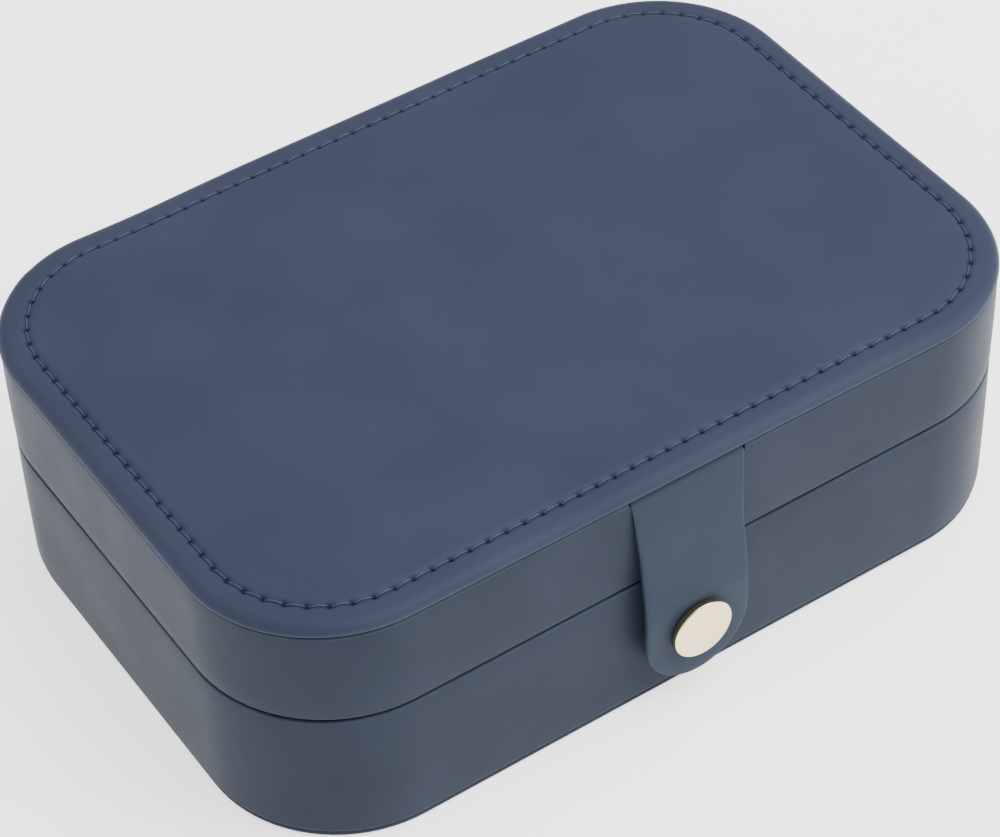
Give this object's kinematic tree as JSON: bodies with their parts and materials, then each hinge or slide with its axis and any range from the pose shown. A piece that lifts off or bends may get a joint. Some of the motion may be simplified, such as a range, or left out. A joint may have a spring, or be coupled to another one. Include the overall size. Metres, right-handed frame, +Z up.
{
  "type": "leather jewellery case",
  "caption": "Small rectangular leather jewellery case with rounded corners, a padded hinged lid, a snap strap, ring rolls, dividers, necklace hooks and a lid pocket.",
  "frame": {"origin": "middle of the flat bottom face, on the surface the case stands on", "axes": "+X along the long side, to the right seen from the strap side; -Y is the front, where the strap hangs; +Z up from the bottom face"},
  "size_m": [0.165, 0.1182, 0.0549],
  "materials": {
    "leather_navy": "fine-grained synthetic leather, semi-matte",
    "greyboard": "raw board",
    "suede_lining": "short-nap suede cloth",
    "ring_velvet": "velvet over foam",
    "padding_foam": "open-cell foam",
    "thread_blue": "twisted polyester thread",
    "elastic_band": "woven elastic",
    "snap_nickel": "satin nickel plate",
    "spring_steel": "bright wire"
  },
  "bodies": {
    "base": {"bottom_leather": "leather_navy", "bottom_board": "greyboard", "base_wall_board": "greyboard", "base_floor_board": "greyboard", "base_wall_leather": "leather_navy", "base_lining": "suede_lining", "cross_divider": "suede_lining", "long_divider": "suede_lining", "short_divider": "suede_lining", "snap_stud": "snap_nickel", "stud_rivet": "snap_nickel", "ring_roll_1": "ring_velvet", "ring_roll_2": "ring_velvet", "ring_roll_3": "ring_velvet", "ring_roll_4": "ring_velvet", "ring_roll_5": "ring_velvet", "ring_roll_6": "ring_velvet", "ring_roll_7": "ring_velvet", "ring_roll_8": "ring_velvet", "back_leather": "leather_navy", "hinge_lining": "suede_lining"},
    "lid": {"lid_wall_board": "greyboard", "lid_wall_leather": "leather_navy", "lid_top_board": "greyboard", "lid_top_foam": "padding_foam", "lid_top_leather": "leather_navy", "lid_stitching": "thread_blue", "lid_lining": "suede_lining", "hook_strip": "leather_navy", "necklace_hook_1": "snap_nickel", "necklace_hook_2": "snap_nickel", "necklace_hook_3": "snap_nickel", "necklace_hook_4": "snap_nickel", "necklace_hook_5": "snap_nickel", "pocket_cloth": "suede_lining", "pocket_hem": "elastic_band", "strap_root": "leather_navy"},
    "strap": {"strap_leather": "leather_navy", "strap_backing": "leather_navy", "snap_cap": "snap_nickel", "snap_socket": "snap_nickel", "snap_spring": "spring_steel"}
  },
  "joints": [
    {"name": "lid_hinge", "type": "hinge", "parent": "base", "child": "lid", "pos_m": [0, 0.0565, 0.03085], "axis": [-1, 0, 0], "range_deg": [0, 105], "deforming": ["back_leather", "hinge_lining"]},
    {"name": "strap_swing", "type": "hinge", "parent": "lid", "child": "strap", "pos_m": [0, -0.05755, 0.05075], "axis": [-1, 0, 0], "range_deg": [0, 120]}
  ]
}
